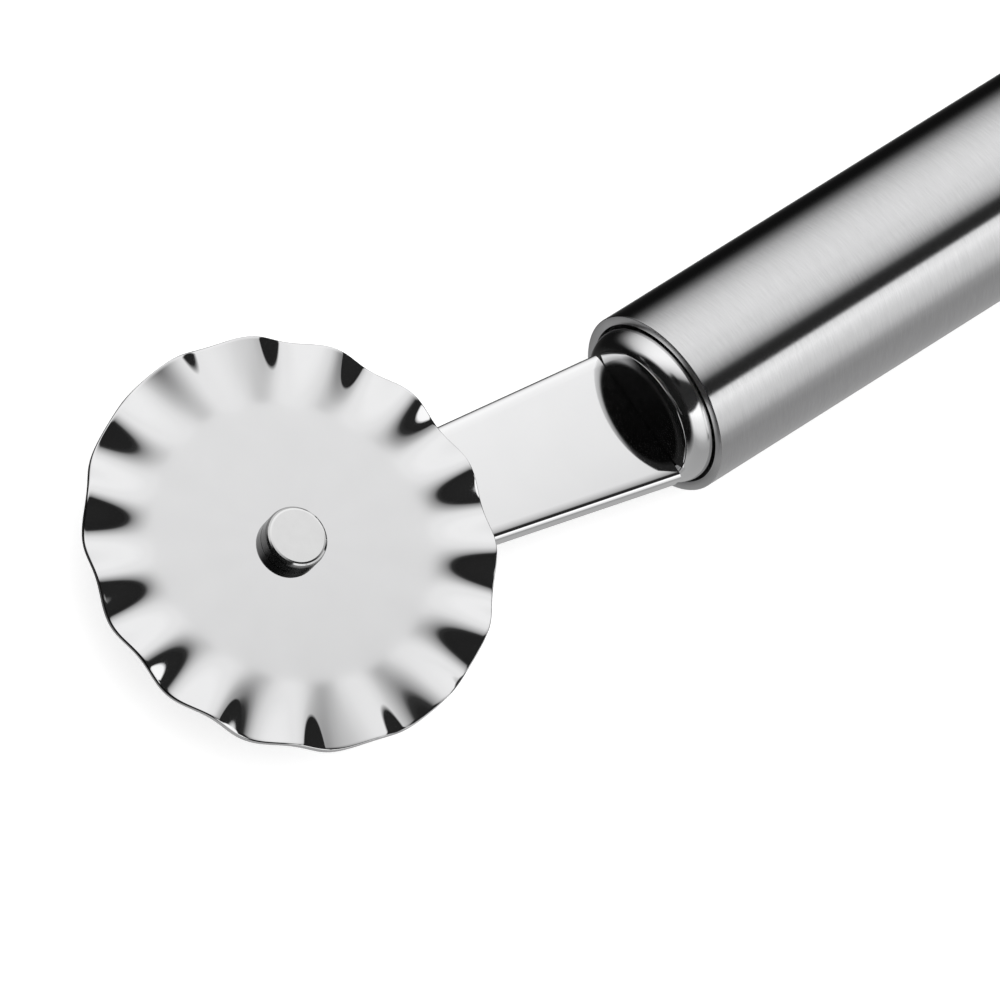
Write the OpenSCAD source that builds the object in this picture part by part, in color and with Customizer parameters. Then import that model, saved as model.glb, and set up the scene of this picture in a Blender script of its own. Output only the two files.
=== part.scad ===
// Pastry wheel with a fluted steel wheel, a riveted arm and a round tube handle.
// The handle's axis is the X axis, and the tube's front end lies at x = 0.
// The wheel stands in front of it, towards -X, and turns about an axle along Z.

/* [Wheel] */
// Diameter of the wheel over its flutes
wheel_d = 40; // [36:0.5:46]
// Thickness of the wheel's sheet
wheel_t = 0.6; // [0.5:0.05:1]
// Number of flutes round the rim
flutes = 15; // [12:1:18]
// Height of a flute at the rim, from the wheel's middle plane
flute_h = 0.58; // [0.3:0.02:0.7]
// Diameter of the flat middle of the wheel
flat_d = 27.2; // [20:0.2:30]
// Angle from the X axis to the first flute's crest
flute_turn = 16.6; // [0:0.1:24]

/* [Axle] */
// Distance from the tube's front end to the axle
axle_reach = 41.4; // [36:0.2:48]
// Distance from the handle's axis to the axle
axle_side = 6.6; // [2:0.2:9]
// Diameter of the rivet's shank
shank_d = 3.2; // [2.6:0.1:3.6]
// Diameter of the rivet's head
head_d = 6; // [5:0.1:7]
// Height of the rivet's head
head_h = 1.6; // [1:0.1:2]
// Diameter of the rivet's closed end
tail_head_d = 5; // [4.4:0.1:6]
// Height of the rivet's closed end
tail_head_h = 1; // [0.8:0.1:1.6]
// Wall of the bush's sleeve
bush_wall = 0.6; // [0.4:0.1:0.8]
// Diameter of the bush's flange
flange_d = 8; // [7:0.2:9]
// Thickness of the bush's flange
flange_t = 0.55; // [0.45:0.05:0.8]
// Diameter of the spacer between the bush and the arm
spacer_d = 7.6; // [6.6:0.2:9]
// Thickness of the spacer
spacer_t = 0.7; // [0.55:0.05:1]
// Diameter of the washer under the rivet's closed end
washer_d = 7.4; // [6.6:0.2:8.4]
// Thickness of that washer
washer_t = 0.6; // [0.4:0.1:1]

/* [Arm] */
// Thickness of the arm
arm_t = 2.5; // [2.2:0.1:3]
// Height of the arm's front face over the handle's axis
arm_face_z = 0.57; // [0.2:0.05:1.2]
// Width of the arm where it leaves the collar
arm_root_w = 14; // [12:0.1:14.2]
// Distance of the arm's root from the handle's axis, away from the axle
arm_root_shift = 0.25; // [0:0.05:0.5]
// Width of the arm round the axle
arm_tip_w = 10; // [9:0.2:11]
// Distance of the arm's rounded tip from the axle, towards the handle's axis
arm_tip_shift = 0.5; // [0:0.1:0.8]
// Width of the rounding along the arm's edges
arm_edge_w = 1.3; // [0.4:0.1:1.5]
// Height of that rounding
arm_edge_h = 0.45; // [0.2:0.05:0.8]
// Width of the tang inside the handle
tang_w = 10; // [7:0.5:10]
// Thickness of the tang
tang_t = 2.1; // [1.6:0.1:2.1]
// Length of the tang behind the tube's front end
tang_len = 34; // [32:1:36]

/* [Handle] */
// Outer diameter of the handle tube
handle_d = 18.1; // [17.8:0.1:21]
// Wall of the handle tube
tube_wall = 0.9; // [0.7:0.05:1]
// Length of the handle tube
handle_len = 112; // [100:1:130]
// Length of the holder behind the collar
holder_len = 32; // [32:1:44]
// Diameter of the cross pins through the tang
pin_d = 3; // [2:0.5:4]
// Distance from the tube's front end to the first cross pin
pin_first = 12; // [10:0.5:14]
// Distance between the cross pins
pin_pitch = 15; // [10:0.5:17]

/* [Collar] */
// Reach of the collar ring in front of the tube
ring_h = 2.1; // [1.4:0.05:2.2]
// Width of the collar ring across its bead
ring_w = 1.35; // [1.1:0.05:1.7]
// Angle of the oval arc from the bead's foot to its crest
ring_arc = 74; // [60:1:88]
// Open groove between the collar ring and the tube
groove_w = 0.25; // [0.1:0.05:0.3]
// Length of the collar ring's skirt inside the tube
skirt_len = 5; // [4:0.5:7]
// Reach of the socket disc in front of the tube
disc_h = 2.38; // [1.6:0.02:2.8]
// Radius of the socket disc's rounded edge
disc_edge_r = 5; // [1.5:0.1:6]
// Rise of the disc's flat front over its rim
disc_rise = 0.2; // [0.05:0.05:0.6]
// Distance from the tube's front end to the back of the disc
disc_back = 0.8; // [0.4:0.1:2]
// Thickness of the seals along the handle
seal_w = 1.2; // [0.8:0.1:1.6]
// Depth of the grooves that hold the seals
seal_depth = 0.8; // [0.5:0.1:1]
// Distance from the tube's ends to the seals
seal_inset = 0.8; // [0.4:0.1:1.6]

/* [Tail] */
// Height of the end cap behind the tube
cap_h = 3.8; // [3:0.1:6]
// Radius of the end cap's rim
cap_edge_r = 3; // [1.5:0.1:3]
// Rise of the end cap's dome
cap_dome_h = 0.6; // [0.2:0.1:0.8]
// Length of the end cap's spigot inside the tube
spigot_len = 6; // [5:0.5:9]
// Length of the plug behind the spigot
plug_len = 9; // [6:0.5:14]
// Thickness of the loop's wire
wire_d = 2.6; // [2:0.1:3]
// Outer width of the hanging loop
loop_w = 14; // [12:0.1:14.2]
// Length of the hanging loop behind the tube
loop_len = 27; // [20:0.5:36]

/* [Hidden] */
$fn = 96;

// Radial gap of the running fit between the shank and the bush
run_gap = 0.04;
// Gap along the axle on both sides of the wheel
end_gap = 0.05;
// Gap round pieces that are seated in one another
seat_gap = 0.05;
// How far a cut runs past the faces it goes through
past = 1;
// How far joined shapes reach into each other
joined = 0.6;

wheel_r = wheel_d / 2;
flat_r = flat_d / 2;
shank_r = shank_d / 2;
sleeve_r = shank_r + run_gap + bush_wall;
arm_back_z = arm_face_z - arm_t;
wheel_back_z = arm_face_z + spacer_t + end_gap + flange_t;
wheel_z = wheel_back_z + wheel_t / 2;
head_z = wheel_back_z + wheel_t + end_gap;
washer_z = arm_back_z - washer_t;

handle_r = handle_d / 2;
tube_bore_r = handle_r - tube_wall;
inner_r = tube_bore_r - seat_gap;
collar_base_r = tube_bore_r - groove_w;
ring_bore_r = collar_base_r - ring_w;
disc_r = ring_bore_r - seat_gap;
seat_x = -max(ring_h, disc_h) - seat_gap;
seal_r = inner_r - seal_depth;
root_upper = [seat_x, arm_root_w / 2 - arm_root_shift];
root_lower = [seat_x, -arm_root_w / 2 - arm_root_shift];
leg_y = (loop_w - wire_d) / 2;
bend_x = handle_len + loop_len - loop_w / 2;

STEEL = [0.82, 0.82, 0.83];
BRUSHED = [0.7, 0.71, 0.72];
BRASS = [0.75, 0.62, 0.36];
SEAL = [0.08, 0.08, 0.08];
NYLON = [0.25, 0.26, 0.27];

// Points on an arc about c, from angle a0 to angle a1
function arc(c, r, a0, a1, n) =
    [for (i = [0:n]) c + r * [cos(a0 + (a1 - a0) * i / n), sin(a0 + (a1 - a0) * i / n)]];

// Angles at which the two tangents from the point p touch a circle of radius r about c
function touch_angle(p, c, r, side) =
    atan2(p[1] - c[1], p[0] - c[0]) + side * acos(r / norm(p - c));

// Turns a profile of [radius, x] points about the handle's axis
module turned(profile) {
    rotate([0, 90, 0])
        rotate_extrude()
            polygon(profile);
}

// A rod along the handle's axis
module rod(r, x0, x1) {
    translate([x0, 0, 0])
        rotate([0, 90, 0])
            cylinder(r = r, h = x1 - x0);
}

// Places a piece on the axle at height z
module on_axle(z) {
    translate([-axle_reach, axle_side, z])
        children();
}

// Flat ring about the axle, with its back face at height z
module axle_ring(r, bore_r, z, t) {
    on_axle(z)
        difference() {
            cylinder(r = r, h = t);
            translate([0, 0, -past])
                cylinder(r = bore_r, h = t + 2 * past);
        }
}

// Fluted sheet: the flutes rise evenly from the flat middle to their full height at the rim
steps_per_flute = 16;
sheet_rings = 4;
sheet_steps = flutes * steps_per_flute;

function ring_radius(j) = flat_r + (wheel_r - flat_r) * j / sheet_rings;
function sheet_point(i, j, z) =
    let (a = 360 * i / sheet_steps, r = ring_radius(j))
    [r * cos(a), r * sin(a), z + flute_h * j / sheet_rings * cos(flutes * (a - flute_turn))];

// One face of the sheet: its centre, then its rings from the flat middle outwards
function sheet_face(z) =
    concat([[0, 0, z]],
        [for (j = [0:sheet_rings]) for (i = [0:sheet_steps - 1]) sheet_point(i, j, z)]);

module fluted_sheet() {
    face_size = 1 + (sheet_rings + 1) * sheet_steps;
    function at(face, i, j) = face * face_size + 1 + j * sheet_steps + i % sheet_steps;
    steps = [0:sheet_steps - 1];
    middle = [for (i = steps) [0, at(0, i, 0), at(0, i + 1, 0)]];
    middle_top = [for (i = steps) [face_size, at(1, i + 1, 0), at(1, i, 0)]];
    flanks = [for (j = [0:sheet_rings - 1]) for (i = steps) for (half = [0, 1]) half == 0
        ? [at(0, i, j), at(0, i, j + 1), at(0, i + 1, j + 1)]
        : [at(0, i, j), at(0, i + 1, j + 1), at(0, i + 1, j)]];
    flanks_top = [for (f = flanks) [f[0] + face_size, f[2] + face_size, f[1] + face_size]];
    last = sheet_rings;
    rim = [for (i = steps) for (half = [0, 1]) half == 0
        ? [at(0, i, last), at(1, i, last), at(1, i + 1, last)]
        : [at(0, i, last), at(1, i + 1, last), at(0, i + 1, last)]];
    polyhedron(points = concat(sheet_face(-wheel_t / 2), sheet_face(wheel_t / 2)),
        faces = concat(middle, middle_top, flanks, flanks_top, rim));
}

// Wheel pressed from sheet, with a plain bore for its bush
module fluted_wheel() {
    color(STEEL)
        on_axle(wheel_z)
            difference() {
                fluted_sheet();
                translate([0, 0, -wheel_t / 2 - past])
                    cylinder(r = sleeve_r + seat_gap, h = wheel_t + 2 * past);
            }
}

// Flanged bush that is pressed into the wheel and runs on the rivet
module wheel_bush() {
    color(BRASS)
        difference() {
            union() {
                on_axle(wheel_back_z - flange_t)
                    cylinder(r = flange_d / 2, h = flange_t);
                on_axle(wheel_back_z - flange_t / 2)
                    cylinder(r = sleeve_r, h = wheel_t + flange_t / 2);
            }
            on_axle(wheel_back_z - flange_t - past)
                cylinder(r = shank_r + run_gap, h = wheel_t + flange_t + 2 * past);
        }
}

// Rivet that carries the wheel: flat head in front, closed end behind the arm
module axle_rivet() {
    head_edge = 0.45;
    head_r = head_d / 2;
    tail_r = tail_head_d / 2;
    tail_z = washer_z - tail_head_h;
    color(STEEL)
        on_axle(0)
            rotate_extrude()
                polygon(concat(
                    [[0, tail_z], [tail_r - tail_head_h * 0.7, tail_z]],
                    [[tail_r - tail_head_h * 0.2, washer_z - tail_head_h * 0.7]],
                    [[tail_r, washer_z - tail_head_h * 0.25], [tail_r, washer_z]],
                    [[shank_r, washer_z], [shank_r, head_z], [head_r, head_z]],
                    arc([head_r - head_edge, head_z + head_h - head_edge], head_edge, 0, 90, 4),
                    [[0, head_z + head_h]]));
}

// Spacer that holds the wheel clear of the arm
module spacer_washer() {
    color(STEEL)
        axle_ring(spacer_d / 2, shank_r + seat_gap, arm_face_z, spacer_t);
}

// Washer that spreads the rivet's closed end on the arm's back
module rivet_washer() {
    color(STEEL)
        axle_ring(washer_d / 2, shank_r + seat_gap, washer_z, washer_t);
}

// Arm blade: a tapered strip with rounded long edges, lofted through insets of its outline
tip_steps = 28;
edge_steps = 5;
tip_center = [-axle_reach, axle_side - arm_tip_shift];
touch_upper = touch_angle(root_upper, tip_center, arm_tip_w / 2, 1);
touch_lower = touch_angle(root_lower, tip_center, arm_tip_w / 2, -1);

function arm_outline(inset) = concat(
    [root_upper - [0, inset / sin(touch_upper)]],
    arc(tip_center, arm_tip_w / 2 - inset, touch_upper, touch_lower + 360, tip_steps),
    [root_lower - [0, inset / sin(touch_lower)]]);

// Pairs of [inset, z] up the blade's rounded edge
function arm_layers() = concat(
    [for (i = [0:edge_steps]) let (a = 90 * i / edge_steps)
        [arm_edge_w * (1 - sin(a)), arm_back_z + arm_edge_h * (1 - cos(a))]],
    [for (i = [0:edge_steps]) let (a = 90 * i / edge_steps)
        [arm_edge_w * (1 - cos(a)), arm_face_z - arm_edge_h * (1 - sin(a))]]);

module arm_strip() {
    layers = arm_layers();
    n = len(arm_outline(0));
    top = len(layers) - 1;
    points = [for (l = layers) for (p = arm_outline(l[0])) [p[0], p[1], l[1]]];
    walls = [for (k = [0:top - 1]) for (i = [0:n - 1])
        [k * n + i, (k + 1) * n + i, (k + 1) * n + (i + 1) % n, k * n + (i + 1) % n]];
    polyhedron(points = points,
        faces = concat([[for (i = [0:n - 1]) i]], walls, [[for (i = [n - 1:-1:0]) top * n + i]]));
}

// Strip and tang in one piece, drilled for the rivet and the cross pins
module arm_blade() {
    tang_z = (arm_face_z + arm_back_z) / 2;
    color(STEEL)
        difference() {
            union() {
                arm_strip();
                translate([seat_x - joined, -tang_w / 2, tang_z - tang_t / 2])
                    cube([tang_len + joined - seat_x, tang_w, tang_t]);
            }
            on_axle(arm_back_z - past)
                cylinder(r = shank_r + seat_gap, h = arm_t + 2 * past);
            pin_holes();
        }
}

// Holes for the cross pins, through the tang and its holder
module pin_holes() {
    for (i = [0:1])
        translate([pin_first + i * pin_pitch, 0, -handle_r])
            cylinder(r = pin_d / 2 + seat_gap, h = handle_d);
}

// Slot for the tang through the socket disc and the holder
module tang_slot() {
    tang_z = (arm_face_z + arm_back_z) / 2;
    translate([seat_x - past, -tang_w / 2 - seat_gap, tang_z - tang_t / 2 - seat_gap])
        cube([tang_len + past + seat_gap - seat_x, tang_w + 2 * seat_gap, tang_t + 2 * seat_gap]);
}

// Polished ring in the tube's mouth: a bead with an oval side from its foot to its crest
module collar_ring() {
    half_w = ring_w / (1 - cos(ring_arc));
    half_h = ring_h / sin(ring_arc);
    side_steps = 12;
    seal_end = seal_inset + seal_w;
    color(STEEL)
        turned(concat(
            [for (i = [0:side_steps]) let (a = ring_arc * i / side_steps)
                [collar_base_r - half_w * (1 - cos(a)), -half_h * sin(a)]],
            [[ring_bore_r, skirt_len], [inner_r, skirt_len]],
            [[inner_r, seal_end], [seal_r, seal_end], [seal_r, seal_inset]],
            [[collar_base_r, seal_inset]]));
}

// Polished disc with a flat front and a rounded edge, which closes the collar behind the arm
module socket_disc() {
    edge_angle = acos(1 - disc_rise / disc_edge_r);
    front_r = disc_r - disc_edge_r * sin(edge_angle);
    color(STEEL)
        difference() {
            turned(concat(
                [[0, disc_back], [disc_r, disc_back]],
                arc([front_r, disc_edge_r - disc_h], disc_edge_r, edge_angle - 90, -90, 8),
                [[0, -disc_h]]));
            tang_slot();
        }
}

// Square-cut seal ring that fills its groove up to the tube
module seal_ring(x) {
    difference() {
        rod(tube_bore_r - seat_gap / 2, x + seat_gap, x + seal_w - seat_gap);
        rod(seal_r + seat_gap / 2, x - past, x + seal_w + past);
    }
}

module collar_seal() {
    color(SEAL)
        seal_ring(seal_inset);
}

module tail_seal() {
    color(SEAL)
        seal_ring(handle_len - seal_inset - seal_w);
}

// Brushed handle tube
module handle_tube() {
    color(BRUSHED)
        difference() {
            rod(handle_r, 0, handle_len);
            rod(tube_bore_r, -past, handle_len + past);
        }
}

// Moulded holder behind the collar, slotted for the tang
module tang_holder() {
    color(NYLON)
        difference() {
            turned([[0, disc_back], [disc_r, disc_back], [disc_r, skirt_len],
                [inner_r, skirt_len], [inner_r, skirt_len + holder_len],
                [0, skirt_len + holder_len]]);
            tang_slot();
            pin_holes();
        }
}

// Two cross pins that lock the tang in its holder
module tang_pins() {
    pin_end = inner_r - pin_d / 8;
    color(STEEL)
        for (i = [0:1])
            translate([pin_first + i * pin_pitch, 0, -pin_end])
                cylinder(r = pin_d / 2, h = 2 * pin_end);
}

// Both legs of the loop, as rods of radius r between x0 and x1
module loop_legs(r, x0, x1) {
    for (side = [-1, 1])
        translate([0, side * leg_y, 0])
            rod(r, x0, x1);
}

// Polished end cap with a spigot in the tube and a hole for each leg of the loop
module end_cap() {
    rim = [collar_base_r - cap_edge_r, handle_len + cap_h - cap_dome_h - cap_edge_r];
    crown_r = rim[0];
    dome_r = (crown_r * crown_r + cap_dome_h * cap_dome_h) / (2 * cap_dome_h);
    half_angle = asin(crown_r / dome_r);
    crown = [0, handle_len + cap_h - dome_r];
    seal_start = handle_len - seal_inset - seal_w;
    color(STEEL)
        difference() {
            turned(concat(
                [[0, handle_len - spigot_len], [inner_r, handle_len - spigot_len]],
                [[inner_r, seal_start], [seal_r, seal_start], [seal_r, seal_start + seal_w]],
                [[collar_base_r, seal_start + seal_w]],
                arc(rim, cap_edge_r, 0, 86, 10),
                arc(crown, dome_r, 90 - half_angle * 0.9, 90, 6)));
            loop_legs(wire_d / 2 + seat_gap, handle_len - spigot_len - past, bend_x);
        }
}

// Moulded plug behind the end cap, drilled for the ends of the loop
module tail_plug() {
    plug_end = handle_len - spigot_len;
    leg_end = plug_end - plug_len * 2 / 3;
    color(NYLON)
        difference() {
            rod(inner_r, plug_end - plug_len, plug_end);
            loop_legs(wire_d / 2 + seat_gap, leg_end, plug_end + past);
        }
}

// Hanging loop bent from wire, with both ends in the tail plug
module hanging_loop() {
    leg_end = handle_len - spigot_len - plug_len * 2 / 3;
    color(STEEL) {
        loop_legs(wire_d / 2, leg_end + seat_gap, bend_x);
        translate([bend_x, 0, 0])
            rotate([0, 0, -90])
                rotate_extrude(angle = 180)
                    translate([leg_y, 0])
                        circle(r = wire_d / 2);
    }
}

fluted_wheel();
wheel_bush();
axle_rivet();
spacer_washer();
rivet_washer();
arm_blade();
collar_ring();
socket_disc();
collar_seal();
handle_tube();
tang_holder();
tang_pins();
end_cap();
tail_seal();
tail_plug();
hanging_loop();
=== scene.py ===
"""Looks of the pastry wheel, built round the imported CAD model."""
import math

import bmesh
import bpy
from mathutils import Matrix, Vector


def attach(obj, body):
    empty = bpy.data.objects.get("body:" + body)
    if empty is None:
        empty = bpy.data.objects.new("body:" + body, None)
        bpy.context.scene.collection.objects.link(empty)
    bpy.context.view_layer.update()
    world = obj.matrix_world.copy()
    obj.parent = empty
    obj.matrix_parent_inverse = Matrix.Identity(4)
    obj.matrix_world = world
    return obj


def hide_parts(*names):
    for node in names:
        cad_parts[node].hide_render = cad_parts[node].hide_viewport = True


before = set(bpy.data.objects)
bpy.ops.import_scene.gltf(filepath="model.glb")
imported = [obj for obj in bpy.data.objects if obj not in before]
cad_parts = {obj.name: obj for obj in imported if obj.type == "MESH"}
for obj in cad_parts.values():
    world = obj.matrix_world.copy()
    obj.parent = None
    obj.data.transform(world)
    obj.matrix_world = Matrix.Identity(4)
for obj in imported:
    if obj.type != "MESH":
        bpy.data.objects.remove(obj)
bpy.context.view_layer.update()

MM = 0.001
scene = bpy.context.scene

# Sizes of the part, in millimetres. The wheel and its axle:
WHEEL_R = 20.0
WHEEL_T = 0.6
WHEEL_Z = 2.17
WHEEL_EDGE_R = 0.12
FLUTES = 15
FLUTE_H = 0.58
FLUTE_TURN = math.radians(16.6)
FLUTE_SOFT = 0.5
FLAT_R = 13.6
BORE_R = 2.29
AXLE = (-41.4, 6.6)

# The arm, its rolled edge and its tang
ARM_FACE_Z = 0.57
ARM_T = 2.5
ARM_ROOT_Y = (-7.25, 6.75)
ARM_TIP = (-41.4, 6.1)
ARM_TIP_R = 5.0
ARM_ROLL_W = 1.3
ARM_ROLL_SLOPE = 0.11
ARM_CORNER_W = 0.8
ARM_CORNER_H = 0.5
ARM_CORNER_START = 0.66
ARM_HOLE_R = 1.65
TANG = (10.0, 2.1, 34.0)
TANG_OVERLAP = 0.6
PIN_HOLE_R = 1.55
PIN_X = (12.0, 27.0)

# The tube
TUBE_R = 9.05
TUBE_BORE_R = 8.15
TUBE_LEN = 112.0
TUBE_OUTER_EDGE_R = 0.08
TUBE_INNER_EDGE_R = 0.05

# The collar's ring, the grooves for the seals, and the disc
RING_H = 2.1
RING_BORE_R = 6.55
RING_ARC = math.radians(74)
RING_BASE_R = 7.9
INNER_R = 8.1
SEAL_R = 7.3
SEAL_X = (0.8, 2.0)
SKIRT_LEN = 5.0
DISC_R = 6.5
DISC_H = 2.38
DISC_EDGE_R = 5.0
DISC_RISE = 0.2
DISC_BACK = 0.8
SEAT_X = -2.43
GAP = 0.05

# The end cap and the loop's legs
CAP_H = 3.8
CAP_EDGE_R = 3.0
CAP_DOME_H = 0.6
SPIGOT_LEN = 6.0
LEG_Y = 5.7
LEG_R = 1.3

# How far cutting tools reach past the solid and over the arm's middle, and a small turn that keeps
# a drill's points off the lines of the cap
PAST = 1.0
DRILL_REACH = 3.0
DRILL_TURN = 0.011

# Angles in degrees over which an edge is shaded sharp
SHARP_ANGLE = 30.0
FINE_ANGLE = 40.0

# Segments round a turned piece and round a hole, and the distances under which points are joined
# and slivers removed
ROUND_STEPS = 256
HOLE_STEPS = 96
JOIN_DIST = 1e-5
SLIVER_DIST = 1e-6


def arc(centre, radius, start, end, steps):
    """Points on an arc, with its angles in degrees."""
    points = []
    for i in range(steps + 1):
        a = math.radians(start + (end - start) * i / steps)
        points.append((centre[0] + radius * math.cos(a), centre[1] + radius * math.sin(a)))
    return points


def new_object(name, bm):
    """Makes an object in metres from a bmesh in millimetres."""
    bmesh.ops.recalc_face_normals(bm, faces=bm.faces)
    mesh = bpy.data.meshes.new(name)
    bm.to_mesh(mesh)
    bm.free()
    mesh.transform(Matrix.Scale(MM, 4))
    obj = bpy.data.objects.new(name, mesh)
    scene.collection.objects.link(obj)
    return obj


def lathe(profile, segments=ROUND_STEPS):
    """Turns a closed profile of (radius, x) points about the X axis."""
    bm = bmesh.new()
    loops = []
    for r, x in profile:
        loops.append([bm.verts.new((x, r * math.cos(2 * math.pi * i / segments),
                                    r * math.sin(2 * math.pi * i / segments)))
                      for i in range(segments)])
    count = len(profile)
    for k in range(count):
        a, b = loops[k], loops[(k + 1) % count]
        for i in range(segments):
            j = (i + 1) % segments
            bm.faces.new((a[i], a[j], b[j], b[i]))
    bmesh.ops.remove_doubles(bm, verts=bm.verts, dist=JOIN_DIST)
    bmesh.ops.dissolve_degenerate(bm, edges=bm.edges, dist=SLIVER_DIST)
    return bm


def box_mesh(low, high):
    """A box between two corners."""
    bm = bmesh.new()
    bmesh.ops.create_cube(bm, size=1.0)
    for v in bm.verts:
        v.co = Vector([low[k] + (v.co[k] + 0.5) * (high[k] - low[k]) for k in range(3)])
    return bm


def rod_mesh(x, y, z0, z1, radius):
    """A cylinder along Z."""
    bm = bmesh.new()
    bmesh.ops.create_cone(bm, cap_ends=True, segments=HOLE_STEPS, radius1=radius, radius2=radius,
                          depth=z1 - z0, matrix=Matrix.Translation((x, y, (z0 + z1) / 2)))
    return bm


def combine(obj, tool, operation):
    """Applies one exact boolean and removes the tool."""
    modifier = obj.modifiers.new("cut", "BOOLEAN")
    modifier.operation = operation
    modifier.solver = "EXACT"
    modifier.object = tool
    bpy.context.view_layer.update()
    result = bpy.data.meshes.new_from_object(
        obj.evaluated_get(bpy.context.evaluated_depsgraph_get()))
    obj.modifiers.remove(modifier)
    obj.data = result
    bpy.data.objects.remove(tool)


def smooth(obj, angle):
    """Smooth shading with sharp edges over the angle, and flats that stay flat."""
    for polygon in obj.data.polygons:
        polygon.use_smooth = True
    obj.data.set_sharp_from_angle(angle=math.radians(angle))
    weighted = obj.modifiers.new("weighted_normals", "WEIGHTED_NORMAL")
    weighted.mode = "FACE_AREA"
    weighted.weight = 100
    weighted.keep_sharp = True


def stand_in(obj, node, body, material):
    """Puts an object in the place of a CAD node."""
    obj.data.materials.clear()
    obj.data.materials.append(material)
    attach(obj, body)
    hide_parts(node)


# Materials

class Nodes:
    """Short way to build a node tree."""

    def __init__(self, tree):
        self.tree = tree
        tree.nodes.clear()

    def add(self, kind, inputs=None, **settings):
        node = self.tree.nodes.new(kind)
        for key, value in settings.items():
            setattr(node, key, value)
        for key, value in (inputs or {}).items():
            if isinstance(value, bpy.types.NodeSocket):
                self.tree.links.new(value, node.inputs[key])
            else:
                node.inputs[key].default_value = value
        return node

    def math(self, operation, a, b=0.0):
        return self.add("ShaderNodeMath", {0: a, 1: b}, operation=operation).outputs[0]

    def place(self):
        return self.add("ShaderNodeTexCoord").outputs["Object"]

    def stretched(self, vector, scale, turn=0.0):
        return self.add("ShaderNodeMapping", {"Vector": vector, "Scale": scale,
                                              "Rotation": (0.0, 0.0, turn)}).outputs[0]

    def bump(self, height, strength, distance):
        return self.add("ShaderNodeBump", {"Height": height, "Strength": strength,
                                           "Distance": distance}).outputs[0]

    def noise(self, vector, scale, detail=3.0, rough=0.5):
        return self.add("ShaderNodeTexNoise", {"Vector": vector, "Scale": scale, "Detail": detail,
                                               "Roughness": rough}).outputs["Fac"]

    def spread(self, value, low, high, start=0.3, end=0.7):
        """Goes from low to high while the value goes from start to end."""
        return self.add("ShaderNodeMapRange", {"Value": value, "From Min": start, "From Max": end,
                                               "To Min": low, "To Max": high}).outputs["Result"]

    def mottle(self, cloud, light, dark):
        """A colour between light and dark, by the noise of a cloud."""
        node = self.add("ShaderNodeMix", data_type="RGBA")
        colours = [s for s in node.inputs if s.type == "RGBA"]
        self.tree.links.new(self.spread(cloud, 0.0, 1.0), node.inputs[0])
        colours[0].default_value = light + (1.0,)
        colours[1].default_value = dark + (1.0,)
        return [s for s in node.outputs if s.type == "RGBA"][0]


def material(name):
    m = bpy.data.materials.new(name)
    m.use_nodes = True
    return m, Nodes(m.node_tree)


def finish_material(n, inputs):
    shader = n.add("ShaderNodeBsdfPrincipled", inputs)
    n.add("ShaderNodeOutputMaterial", {"Surface": shader.outputs[0]})


def grey(level):
    """The slightly cool grey of steel."""
    return (level, level, level + 0.005)


# Hairline marks of the polish: noise scale along each axis, turn and depth in metres
HAIRLINES = (900.0, 14000.0, 9000.0)
HAIRLINE_TURN = 0.5
HAIRLINE_DEPTH = 1e-7
HAZE_SCALE = 220.0
HAZE_SPAN = (0.12, 0.4)


def polished_steel(name, light, dark, rough, haze, crown=(0.0, 0.0, 0.0, 0.0)):
    """Mirror-polished steel with a faint haze, hairline marks and perhaps a crown.

    The crown is (rise along X, rise along Y, centre X, centre Y), per metre and in metres.
    """
    m, n = material(name)
    place = n.place()
    cloud = n.noise(place, HAZE_SCALE)
    marks = n.noise(n.stretched(place, HAIRLINES, HAIRLINE_TURN), 1.0, 2.0)
    colour = n.mottle(cloud, grey(light), grey(dark))
    roughness = n.spread(n.math("MULTIPLY", cloud, marks), rough, rough + haze, *HAZE_SPAN)
    axes = n.add("ShaderNodeSeparateXYZ", {0: place}).outputs
    height = n.math("MULTIPLY", marks, HAIRLINE_DEPTH)
    for axis in (0, 1):
        if crown[axis]:
            out = n.math("SUBTRACT", axes[axis], crown[axis + 2])
            height = n.math("SUBTRACT", height,
                            n.math("MULTIPLY", n.math("MULTIPLY", out, out), crown[axis]))
    finish_material(n, {"Base Color": colour, "Metallic": 1.0, "Roughness": roughness,
                        "Normal": n.bump(height, 1.0, 1.0)})
    return m


# Brush lines round the tube, fine and broad: noise scale along X and round it, and their shares
BRUSH_FINE = (9000.0, 5.0)
BRUSH_BROAD = (1500.0, 2.0)
BRUSH_BROAD_SEED = 7.0
BRUSH_SHARES = (0.7, 0.3)
# Their depth in metres, spread of roughness, and stretch of the highlight across them
BRUSH_DEPTH = 1.5e-6
BRUSH_ROUGH = (-0.02, 0.03)
BRUSH_STRETCH = 0.8
QUARTER_TURN = 0.25


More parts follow.
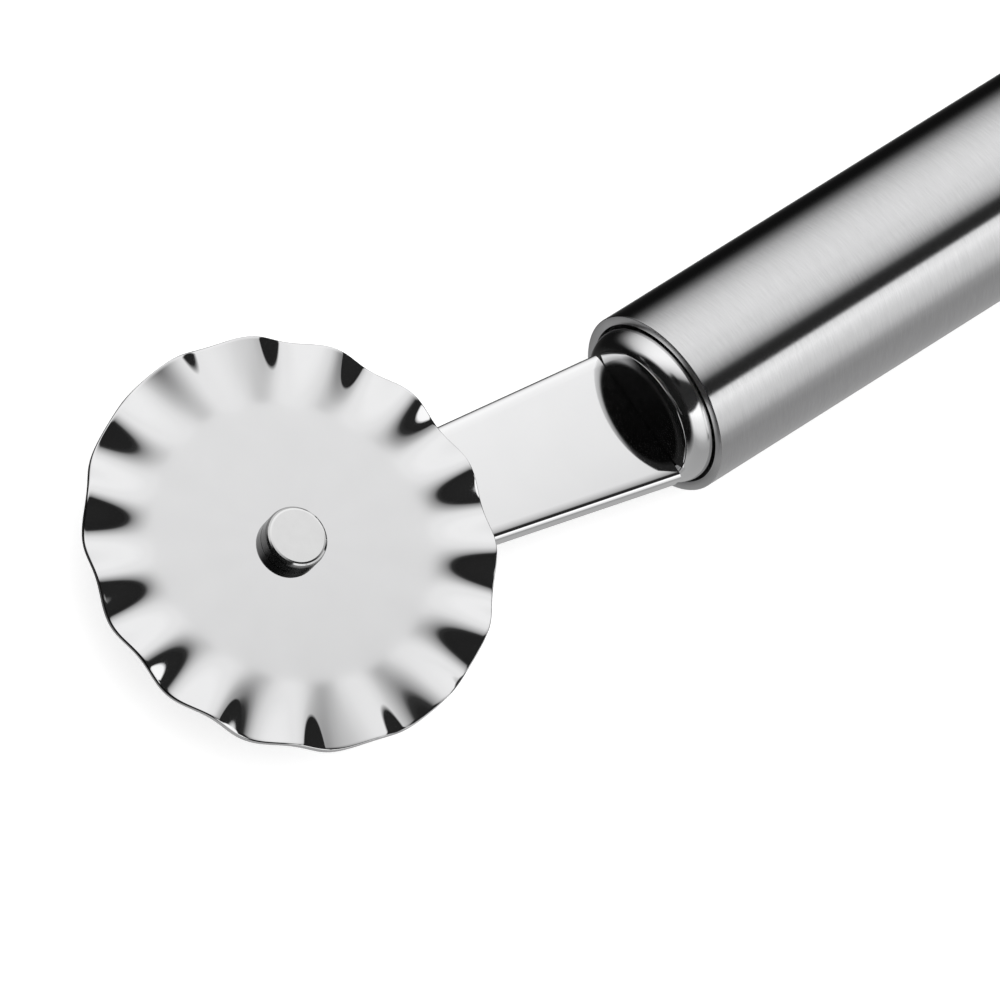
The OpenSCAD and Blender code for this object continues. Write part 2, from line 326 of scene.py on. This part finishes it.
def brushed_steel(name, light, dark, rough):
    """Steel brushed round the X axis, with fine lines that run round the tube."""
    m, n = material(name)
    axes = n.add("ShaderNodeSeparateXYZ", {0: n.place()}).outputs
    turn = n.math("ARCTAN2", axes[2], axes[1])

    def brush(scales, seed):
        return n.add("ShaderNodeCombineXYZ", {0: n.math("MULTIPLY", axes[0], scales[0]),
                                              1: n.math("MULTIPLY", turn, scales[1]),
                                              2: seed}).outputs[0]

    lines = n.noise(brush(BRUSH_FINE, 0.0), 1.0, 4.0, 0.6)
    broad = n.noise(brush(BRUSH_BROAD, BRUSH_BROAD_SEED), 1.0)
    mixed = n.math("ADD", n.math("MULTIPLY", lines, BRUSH_SHARES[0]),
                   n.math("MULTIPLY", broad, BRUSH_SHARES[1]))
    roughness = n.spread(mixed, *[rough + change for change in BRUSH_ROUGH])
    tangent = n.add("ShaderNodeTangent", direction_type="RADIAL", axis="X")
    finish_material(n, {"Base Color": n.mottle(mixed, grey(light), grey(dark)), "Metallic": 1.0,
                        "Roughness": roughness, "Anisotropic": BRUSH_STRETCH,
                        "Anisotropic Rotation": QUARTER_TURN, "Tangent": tangent.outputs[0],
                        "Normal": n.bump(lines, 0.5, BRUSH_DEPTH)})
    return m


# Rivet steel: greys of its ends and the painted shade of its sides, roughness from side to end,
# and how far a face looks along the axle where side turns into end
RIVET_END_GREY = (0.75, 0.775)
RIVET_SIDE_SHADE = (0.07, 0.12)
RIVET_ROUGH = (0.26, 0.05)
RIVET_EDGE = (0.35, 0.98)
# Noise scales of its clouds and turning rings, and their depth in metres
RIVET_CLOUDS = 900.0
RIVET_RINGS = (500.0, 500.0, 9000.0)
RIVET_RING_DEPTH = 1e-6


def riveted_steel(name):
    """Rivet steel: polished flat ends, and turned sides that are duller and darkened by painted
    shade that follows which way a face looks.
    """
    m, n = material(name)
    coords = n.add("ShaderNodeTexCoord").outputs
    facing = n.add("ShaderNodeSeparateXYZ", {0: coords["Normal"]})
    end = n.spread(n.math("ABSOLUTE", facing.outputs[2]), 0.0, 1.0, *RIVET_EDGE)
    cloud = n.noise(coords["Object"], RIVET_CLOUDS)
    rings = n.noise(n.stretched(coords["Object"], RIVET_RINGS), 1.0, 2.0)
    end_share = n.math("MULTIPLY", end, n.spread(cloud, *RIVET_END_GREY))
    # Painted shade: the sides are made near black by which way they face.
    side_shade_share = n.math("MULTIPLY", n.math("SUBTRACT", 1.0, end),
                        n.spread(rings, *RIVET_SIDE_SHADE))
    finish_material(n, {"Base Color": n.math("ADD", end_share, side_shade_share), "Metallic": 1.0,
                        "Roughness": n.spread(end, *RIVET_ROUGH, 0.0, 1.0),
                        "Normal": n.bump(rings, 0.4, RIVET_RING_DEPTH)})
    return m


# Bronze and moulded pieces: noise scale of the clouds and of the grain, grain's depth in metres
BRONZE_GRAIN = (600.0, 5000.0, 4e-6)
BRONZE_ROUGH = (0.22, 0.36)
MOULDED_GRAIN = (400.0, 6000.0, 1e-5)
MOULDED_ROUGH_SPAN = 0.15


def turned_bronze(name, light, dark):
    """Bearing bronze with a cloudy tarnish and a fine grain."""
    m, n = material(name)
    place = n.place()
    clouds, grains, depth = BRONZE_GRAIN
    cloud = n.noise(place, clouds)
    grain = n.noise(place, grains, 2.0)
    finish_material(n, {"Base Color": n.mottle(cloud, light, dark), "Metallic": 1.0,
                        "Roughness": n.spread(cloud, *BRONZE_ROUGH),
                        "Normal": n.bump(grain, 0.4, depth)})
    return m


def moulded(name, light, dark, rough):
    """Moulded plastic or rubber with a fine grain."""
    m, n = material(name)
    place = n.place()
    clouds, grains, depth = MOULDED_GRAIN
    cloud = n.noise(place, clouds)
    grain = n.noise(place, grains, 2.0)
    finish_material(n, {"Base Color": n.mottle(cloud, light, dark),
                        "Roughness": n.spread(grain, rough, rough + MOULDED_ROUGH_SPAN),
                        "Normal": n.bump(grain, 0.5, depth)})
    return m


WHEEL_STEEL = polished_steel("wheel_steel", 0.77, 0.755, 0.03, 0.03,
                             crown=(0.575, 0.575, AXLE[0] * MM, AXLE[1] * MM))
ARM_STEEL = polished_steel("arm_steel", 0.86, 0.845, 0.03, 0.04, crown=(0.0, 2.6, 0.0, 0.0))
RING_STEEL = polished_steel("ring_steel", 0.84, 0.82, 0.09, 0.05)
DISC_STEEL = polished_steel("disc_steel", 0.8, 0.78, 0.03, 0.02)
TAIL_STEEL = polished_steel("tail_steel", 0.84, 0.82, 0.05, 0.05)
FIXING_STEEL = polished_steel("fixing_steel", 0.77, 0.75, 0.12, 0.06)
RIVET_STEEL = riveted_steel("rivet_steel")
TUBE_STEEL = brushed_steel("tube_steel", 0.66, 0.58, 0.13)
TUBE_END_STEEL = polished_steel("tube_end_steel", 0.62, 0.57, 0.28, 0.05)
BRONZE = turned_bronze("bush_bronze", (0.76, 0.6, 0.34), (0.62, 0.46, 0.24))
RUBBER = moulded("seal_rubber", (0.035, 0.035, 0.035), (0.02, 0.02, 0.02), 0.55)
NYLON = moulded("holder_nylon", (0.26, 0.27, 0.28), (0.2, 0.21, 0.22), 0.45)


# Fluted wheel: a pressed sheet with rounded rim edges

FLAT_RINGS = [BORE_R, 5.0, 8.0, 10.0, 11.0, 12.0]
FLUTE_RINGS_FROM = 12.5
FLUTE_RINGS = 36
FLUTE_STEPS = 36
RIM_STEPS = 5


def wheel_section():
    """Closed section of the sheet as (radius, height over the middle plane) points."""
    half, edge = WHEEL_T / 2, WHEEL_EDGE_R
    fluted = WHEEL_R - edge - FLUTE_RINGS_FROM
    flutes = [FLUTE_RINGS_FROM + fluted * i / FLUTE_RINGS for i in range(FLUTE_RINGS)]
    under = [(r, -half) for r in FLAT_RINGS + flutes]
    rim = (arc((WHEEL_R - edge, edge - half), edge, -90, 0, RIM_STEPS)
           + arc((WHEEL_R - edge, half - edge), edge, 0, 90, RIM_STEPS))
    return under + rim + [(r, -h) for r, h in reversed(under)]


def wheel_height(r, a):
    """Height of the flutes, with a soft start at the flat middle."""
    past = r - FLAT_R
    rise = (past + math.hypot(past, FLUTE_SOFT)) / 2
    full = (WHEEL_R - FLAT_R + math.hypot(WHEEL_R - FLAT_R, FLUTE_SOFT)) / 2
    return FLUTE_H * rise / full * math.cos(FLUTES * (a - FLUTE_TURN))


def build_wheel():
    steps = FLUTES * FLUTE_STEPS
    bm = bmesh.new()
    rings = []
    for r, h in wheel_section():
        ring = []
        for i in range(steps):
            a = 2 * math.pi * i / steps
            ring.append(bm.verts.new((AXLE[0] + r * math.cos(a), AXLE[1] + r * math.sin(a),
                                      WHEEL_Z + h + wheel_height(r, a))))
        rings.append(ring)
    for k in range(len(rings)):
        low, high = rings[k], rings[(k + 1) % len(rings)]
        for i in range(steps):
            j = (i + 1) % steps
            bm.faces.new((low[i], low[j], high[j], high[i]))
    wheel = new_object("wheel_sheet", bm)
    smooth(wheel, FINE_ANGLE)
    stand_in(wheel, "fluted_wheel", "wheel", WHEEL_STEEL)


build_wheel()


# Arm: a tapered strip with rounded long edges, and its tang

ROLL_STEPS = 8
CORNER_STEPS = 14
TIP_STEPS = 72


def touch_angle(point, centre, radius, side):
    """Angle at which a line from the point touches the circle, on one side."""
    dx, dy = point[0] - centre[0], point[1] - centre[1]
    return math.degrees(math.atan2(dy, dx)) + side * math.degrees(
        math.acos(radius / math.hypot(dx, dy)))


def arm_outline(inset):
    """Outline of the strip, moved inwards."""
    low, high = ARM_ROOT_Y
    upper = touch_angle((SEAT_X, high), ARM_TIP, ARM_TIP_R, 1)
    lower = touch_angle((SEAT_X, low), ARM_TIP, ARM_TIP_R, -1)
    return ([(SEAT_X, high - inset / math.sin(math.radians(upper)))]
            + arc(ARM_TIP, ARM_TIP_R - inset, upper, lower + 360, TIP_STEPS)
            + [(SEAT_X, low - inset / math.sin(math.radians(lower)))])


def arm_edge():
    """The rolled edge as (inset, depth under the face) points, from the face outwards."""
    rolled = ARM_ROLL_W - ARM_CORNER_START
    edge = []
    for i in range(ROLL_STEPS):
        share = i / ROLL_STEPS
        edge.append((ARM_ROLL_W - rolled * share, ARM_ROLL_SLOPE * rolled * share ** 2 / 2))
    start = math.asin(1 - ARM_CORNER_START / ARM_CORNER_W)
    for i in range(CORNER_STEPS + 1):
        a = start + (math.pi / 2 - start) * i / CORNER_STEPS
        edge.append((ARM_CORNER_W * (1 - math.sin(a)),
                     ARM_ROLL_SLOPE * rolled / 2 + ARM_CORNER_H * (math.cos(start) - math.cos(a))))
    return edge


def build_arm():
    edge = arm_edge()
    layers = [(inset, ARM_FACE_Z - ARM_T + depth) for inset, depth in edge]
    layers += [(inset, ARM_FACE_Z - depth) for inset, depth in reversed(edge)]
    bm = bmesh.new()
    rings = [[bm.verts.new((x, y, z)) for x, y in arm_outline(inset)] for inset, z in layers]
    count = len(rings[0])
    for low, high in zip(rings, rings[1:]):
        for i in range(count):
            j = (i + 1) % count
            bm.faces.new((low[i], low[j], high[j], high[i]))
    bm.faces.new(rings[0])
    bm.faces.new(rings[-1])
    arm = new_object("arm_strip", bm)
    middle = ARM_FACE_Z - ARM_T / 2
    width, thick, length = TANG
    tang = new_object("tang", box_mesh((SEAT_X - TANG_OVERLAP, -width / 2, middle - thick / 2),
                                       (length, width / 2, middle + thick / 2)))
    combine(arm, tang, "UNION")
    holes = [(AXLE[0], AXLE[1], ARM_HOLE_R)] + [(x, 0.0, PIN_HOLE_R) for x in PIN_X]
    for x, y, radius in holes:
        drill = rod_mesh(x, y, middle - DRILL_REACH, middle + DRILL_REACH, radius)
        combine(arm, new_object("drill", drill), "DIFFERENCE")
    smooth(arm, SHARP_ANGLE)
    stand_in(arm, "arm_blade", "handle", ARM_STEEL)


build_arm()


# Collar: the beaded ring, and the disc with its slot for the tang

RING_STEPS = 48
DISC_STEPS = 16


def ring_profile():
    """Closed section of the ring as (radius, x) points."""
    half_w = (RING_BASE_R - RING_BORE_R) / (1 - math.cos(RING_ARC))
    half_h = RING_H / math.sin(RING_ARC)
    side = []
    for i in range(RING_STEPS + 1):
        a = RING_ARC * i / RING_STEPS
        side.append((RING_BASE_R - half_w * (1 - math.cos(a)), -half_h * math.sin(a)))
    return side + [
        (RING_BORE_R, SKIRT_LEN), (INNER_R, SKIRT_LEN), (INNER_R, SEAL_X[1]),
        (SEAL_R, SEAL_X[1]), (SEAL_R, SEAL_X[0]), (RING_BASE_R, SEAL_X[0])]


def build_collar():
    ring = new_object("collar", lathe(ring_profile()))
    smooth(ring, SHARP_ANGLE)
    stand_in(ring, "collar_ring", "handle", RING_STEEL)

    edge_angle = math.acos(1 - DISC_RISE / DISC_EDGE_R)
    front_r = DISC_R - DISC_EDGE_R * math.sin(edge_angle)
    disc = new_object("disc", lathe(
        [(0.0, DISC_BACK), (DISC_R, DISC_BACK)]
        + arc((front_r, DISC_EDGE_R - DISC_H), DISC_EDGE_R,
              math.degrees(edge_angle) - 90, -90, DISC_STEPS)
        + [(0.0, -DISC_H)]))
    middle = ARM_FACE_Z - ARM_T / 2
    width, thick, length = TANG
    slot = box_mesh((SEAT_X - PAST, -width / 2 - GAP, middle - thick / 2 - GAP),
                    (length, width / 2 + GAP, middle + thick / 2 + GAP))
    combine(disc, new_object("slot", slot), "DIFFERENCE")
    smooth(disc, SHARP_ANGLE)
    stand_in(disc, "socket_disc", "handle", DISC_STEEL)


build_collar()


# Handle tube with softened mouth edges

TUBE_OUTER_STEPS = 6
TUBE_INNER_STEPS = 3
TUBE_END_FACING = 0.9


def build_tube():
    outer, inner = TUBE_OUTER_EDGE_R, TUBE_INNER_EDGE_R
    tube = new_object("tube", lathe(
        arc((TUBE_R - outer, outer), outer, -90, 0, TUBE_OUTER_STEPS)
        + arc((TUBE_R - outer, TUBE_LEN - outer), outer, 0, 90, TUBE_OUTER_STEPS)
        + arc((TUBE_BORE_R + inner, TUBE_LEN - inner), inner, 90, 180, TUBE_INNER_STEPS)
        + arc((TUBE_BORE_R + inner, inner), inner, 180, 270, TUBE_INNER_STEPS)))
    smooth(tube, FINE_ANGLE)
    stand_in(tube, "handle_tube", "handle", TUBE_STEEL)
    tube.data.materials.append(TUBE_END_STEEL)
    for polygon in tube.data.polygons:
        if abs(polygon.normal.x) > TUBE_END_FACING:
            polygon.material_index = 1


build_tube()


# End cap: a domed cap with a spigot in the tube and a hole for each leg of the loop

CAP_ARC_STEPS = 32
CAP_DOME_STEPS = 24
CAP_ARC_END = 86
CAP_DOME_SHARE = 0.9


def cap_profile():
    """Closed section of the cap as (radius, x) points."""
    rim = (RING_BASE_R - CAP_EDGE_R, TUBE_LEN + CAP_H - CAP_DOME_H - CAP_EDGE_R)
    dome_r = (rim[0] ** 2 + CAP_DOME_H ** 2) / (2 * CAP_DOME_H)
    dome_angle = CAP_DOME_SHARE * math.degrees(math.asin(rim[0] / dome_r))
    inner_end = TUBE_LEN - SPIGOT_LEN
    seal_start, seal_end = TUBE_LEN - SEAL_X[1], TUBE_LEN - SEAL_X[0]
    return ([(0.0, inner_end), (INNER_R, inner_end), (INNER_R, seal_start), (SEAL_R, seal_start),
             (SEAL_R, seal_end), (RING_BASE_R, seal_end)]
            + arc(rim, CAP_EDGE_R, 0, CAP_ARC_END, CAP_ARC_STEPS)
            + arc((0.0, TUBE_LEN + CAP_H - dome_r), dome_r, 90 - dome_angle, 90, CAP_DOME_STEPS))


def build_cap():
    cap = new_object("cap", lathe(cap_profile()))
    hole_r = LEG_R + GAP
    start, end = TUBE_LEN - SPIGOT_LEN - PAST, TUBE_LEN + CAP_H + PAST
    rod = [(0.0, start), (hole_r, start), (hole_r, end), (0.0, end)]
    for side in (-1, 1):
        drill = new_object("drill", lathe(rod, HOLE_STEPS))
        drill.location.y = side * LEG_Y * MM
        drill.rotation_euler.x = DRILL_TURN
        combine(cap, drill, "DIFFERENCE")
    smooth(cap, SHARP_ANGLE)
    stand_in(cap, "end_cap", "handle", TAIL_STEEL)


build_cap()


# CAD nodes that keep their shape
KEPT = {
    "axle_rivet": RIVET_STEEL, "spacer_washer": FIXING_STEEL, "rivet_washer": FIXING_STEEL,
    "tang_pins": FIXING_STEEL, "wheel_bush": BRONZE, "collar_seal": RUBBER, "tail_seal": RUBBER,
    "tang_holder": NYLON, "tail_plug": NYLON, "hanging_loop": TAIL_STEEL,
}
for node_name, kept_material in KEPT.items():
    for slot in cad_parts[node_name].material_slots:
        slot.material = kept_material


# Camera at the photo's viewing angle
CAMERA_AT = (-769.35, -140.35, 1286.28)
CAMERA_RIGHT = (0.73318, -0.57391, 0.36481)
CAMERA_UP = (0.45937, 0.81352, 0.35659)
CAMERA_LENS = 586.79
CAMERA_SENSOR = 36.0
CAMERA_CLIP = (0.1, 20.0)
camera_data = bpy.data.cameras.new("camera")
camera = bpy.data.objects.new("camera", camera_data)
scene.collection.objects.link(camera)
camera_data.sensor_width = CAMERA_SENSOR
camera_data.lens = CAMERA_LENS
camera_data.clip_start, camera_data.clip_end = CAMERA_CLIP
right, up = Vector(CAMERA_RIGHT).normalized(), Vector(CAMERA_UP).normalized()
toward = right.cross(up).normalized()
up = toward.cross(right)
turned = Matrix((right, up, toward)).transposed().to_4x4()
camera.matrix_world = Matrix.Translation(Vector(CAMERA_AT) * MM) @ turned
scene.camera = camera


# Studio: long soft lights round the handle, as (angle from +Y to +Z, brightness)
PANORAMA = (
    (-180, 0.45), (-168, 0.37), (-150, 0.39), (-110, 0.43), (-84, 0.42), (-74, 0.2), (-64, 0.03),
    (-50, 0.008), (-32, 0.006), (-25, 0.018), (-17, 0.11), (-8, 0.31), (0, 0.54), (12, 0.76),
    (24, 0.95), (36, 1.05), (48, 1.1), (60, 1.1), (72, 1.08), (84, 1.17), (92, 1.18), (98, 1.08),
    (104, 1.0), (111, 1.1), (124, 1.2), (136, 1.3), (144, 1.1), (152, 0.96), (160, 0.88),
    (168, 0.74), (180, 0.45))
# A dark flag hangs over the arm: its soft upper side as (distance along FLAG_TOP, share of light)
FLAG_TOP = (0.3486, 0.9352, 0.0632)
FLAG_SPAN = (-0.1, 0.7)
FLAG_SHADE = (
    (-0.05, 0.018), (0.0, 0.035), (0.025, 0.12), (0.05, 0.25), (0.075, 0.33), (0.125, 0.45),
    (0.175, 0.55), (0.225, 0.64), (0.3, 0.77), (0.4, 0.89), (0.5, 0.96), (0.6, 1.0))
# Its sharp end on the handle's side, and the light beyond its foot on both sides
FLAG_END = (0.578, -0.734, -0.356)
FLAG_END_EDGE = (0.36, 0.3)
FLAG_END_LEVEL = 0.018
FOOT_LIGHT = (0.558, -0.741, 0.373)
FOOT_LIGHT_EDGE = (0.9, 0.915)
FLAG_FOOT = (-0.2365, 0.74, 0.6306)
FLAG_FOOT_EDGE = (0.07, 0.03)
FLAG_FOOT_REACH = (0.3, 0.1)
# The flag fades out just above the horizon, and the light below it is open
HORIZON_EDGE = (0.1, 0.0)
# The flag is blackest where the collar sees it by way of the arm
FLAG_HEART = Vector((-0.5, 0.09, 0.86)).normalized()
HEART_ANGLES = (5.0, 12.0)
HEART_LEVEL = 0.08


def build_ramp(n, value, low, high, stops):
    """A colour ramp over low to high, with (value, level) stops."""
    place = n.add("ShaderNodeMapRange", {"Value": value, "From Min": low, "From Max": high})
    ramp = n.add("ShaderNodeValToRGB", {"Fac": place.outputs["Result"]})
    elements = ramp.color_ramp.elements
    while len(elements) > 1:
        elements.remove(elements[-1])
    for i, (at, level) in enumerate(stops):
        share = (at - low) / (high - low)
        stop = elements[0] if i == 0 else elements.new(share)
        stop.position = share
        stop.color = (level, level, level, 1.0)
    return ramp.outputs["Color"]


def along(n, direction, axis):
    """How far the direction goes along the axis."""
    return n.add("ShaderNodeVectorMath", {0: direction, 1: axis},
                 operation="DOT_PRODUCT").outputs["Value"]


def build_world():
    world = bpy.data.worlds.new("studio")
    scene.world = world
    world.use_nodes = True
    n = Nodes(world.node_tree)
    direction = n.add("ShaderNodeTexCoord").outputs["Generated"]
    axes = n.add("ShaderNodeSeparateXYZ", {0: direction}).outputs
    angle = n.math("DEGREES", n.math("ARCTAN2", axes[2], axes[1]))
    lights = build_ramp(n, angle, -180.0, 180.0, PANORAMA)
    shade = build_ramp(n, along(n, direction, FLAG_TOP), *FLAG_SPAN, FLAG_SHADE)
    end = n.spread(along(n, direction, FLAG_END), FLAG_END_LEVEL, 1.0, *FLAG_END_EDGE)
    foot = n.spread(along(n, direction, FOOT_LIGHT), 0.0, 1.0, *FOOT_LIGHT_EDGE)
    far_foot = n.math("MULTIPLY",
                      n.spread(along(n, direction, FLAG_FOOT), 0.0, 1.0, *FLAG_FOOT_EDGE),
                      n.spread(axes[0], 0.0, 1.0, *FLAG_FOOT_REACH))
    below = n.spread(axes[2], 0.0, 1.0, *HORIZON_EDGE)
    flag = n.math("MAXIMUM", n.math("MINIMUM", shade, end), n.math("MAXIMUM", foot, far_foot))
    heart = n.spread(along(n, direction, FLAG_HEART), 1.0, HEART_LEVEL,
                     *[math.cos(math.radians(a)) for a in reversed(HEART_ANGLES)])
    lit = n.math("MULTIPLY", lights, n.math("MAXIMUM", flag, below))
    level = n.math("MULTIPLY", lit, heart)
    studio = n.add("ShaderNodeBackground", {"Color": level, "Strength": 1.0})
    white = n.add("ShaderNodeBackground", {"Color": (1.0, 1.0, 1.0, 1.0), "Strength": 1.0})
    rays = n.add("ShaderNodeLightPath").outputs
    in_metal = n.add("ShaderNodeMixShader", {0: rays["Is Glossy Ray"], 1: white.outputs[0],
                                             2: studio.outputs[0]})
    n.add("ShaderNodeOutputWorld", {"Surface": in_metal.outputs[0]})


build_world()


# Black card beyond the wheel, which only the mirror-like surfaces see, with a soft outline
CARD_AT = (-120.0, 0.0, 6.0)
CARD_EDGE = (91.0, 138.0)
CARD_STEPS = 96
CARD_BLACK = (0.006, 0.003)
CARD_CLOUDS = 300.0


def build_card():
    bm = bmesh.new()
    bmesh.ops.create_circle(bm, cap_ends=True, segments=CARD_STEPS, radius=CARD_EDGE[1])
    card = new_object("black_card", bm)
    card.location = Vector(CARD_AT) * MM
    card.rotation_euler = (0.0, math.pi / 2, 0.0)
    m, n = material("card_felt")
    place = n.place()
    black = n.mottle(n.noise(place, CARD_CLOUDS), *[(level,) * 3 for level in CARD_BLACK])
    felt = n.add("ShaderNodeBsdfDiffuse", {"Color": black})
    clear = n.add("ShaderNodeBsdfTransparent")
    out = n.add("ShaderNodeVectorMath", {0: place}, operation="LENGTH").outputs["Value"]
    share = n.spread(out, 1.0, 0.0, *[r * MM for r in CARD_EDGE])
    both = n.add("ShaderNodeMixShader", {0: share, 1: clear.outputs[0], 2: felt.outputs[0]})
    n.add("ShaderNodeOutputMaterial", {"Surface": both.outputs[0]})
    card.data.materials.append(m)
    card.visible_camera = False
    card.visible_diffuse = False
    card.visible_shadow = False


build_card()


# Floor under the handle, seen from above only, and lifted to white for the camera
FLOOR_GLOW = 0.45
FLOOR_HALF_SIZE = 2500.0
FLOOR_AT = (30.0, 0.0, -TUBE_R - 0.02)
FLOOR_WHITE = (0.9, 0.885)
FLOOR_CLOUDS = 60.0


def build_floor():
    bm = bmesh.new()
    bmesh.ops.create_grid(bm, x_segments=1, y_segments=1, size=FLOOR_HALF_SIZE)
    floor = new_object("floor", bm)
    floor.location = Vector(FLOOR_AT) * MM
    m, n = material("floor_white")
    white = n.mottle(n.noise(n.place(), FLOOR_CLOUDS), *[(level,) * 3 for level in FLOOR_WHITE])
    paint = n.add("ShaderNodeBsdfDiffuse", {"Color": white})
    seen = n.add("ShaderNodeLightPath").outputs["Is Camera Ray"]
    glow = n.add("ShaderNodeEmission", {"Color": (1.0, 1.0, 1.0, 1.0),
                                        "Strength": n.math("MULTIPLY", seen, FLOOR_GLOW)})
    lit = n.add("ShaderNodeAddShader", {0: paint.outputs[0], 1: glow.outputs[0]})
    clear = n.add("ShaderNodeBsdfTransparent")
    side = n.add("ShaderNodeNewGeometry").outputs["Backfacing"]
    both = n.add("ShaderNodeMixShader", {0: side, 1: lit.outputs[0], 2: clear.outputs[0]})
    n.add("ShaderNodeOutputMaterial", {"Surface": both.outputs[0]})
    floor.data.materials.append(m)
    floor.visible_glossy = False


build_floor()

# Soft overhead fill for the floor: size and height in metres, power in watts
FILL_SIZE = 2.0
FILL_HEIGHT = 2.0
FILL_POWER = 9.0
fill_data = bpy.data.lights.new("fill", "AREA")
fill_data.shape = "SQUARE"
fill_data.size = FILL_SIZE
fill_data.energy = FILL_POWER
fill = bpy.data.objects.new("fill", fill_data)
scene.collection.objects.link(fill)
fill.location = (0.0, 0.0, FILL_HEIGHT)
fill.visible_glossy = False

scene.view_settings.view_transform = "Standard"
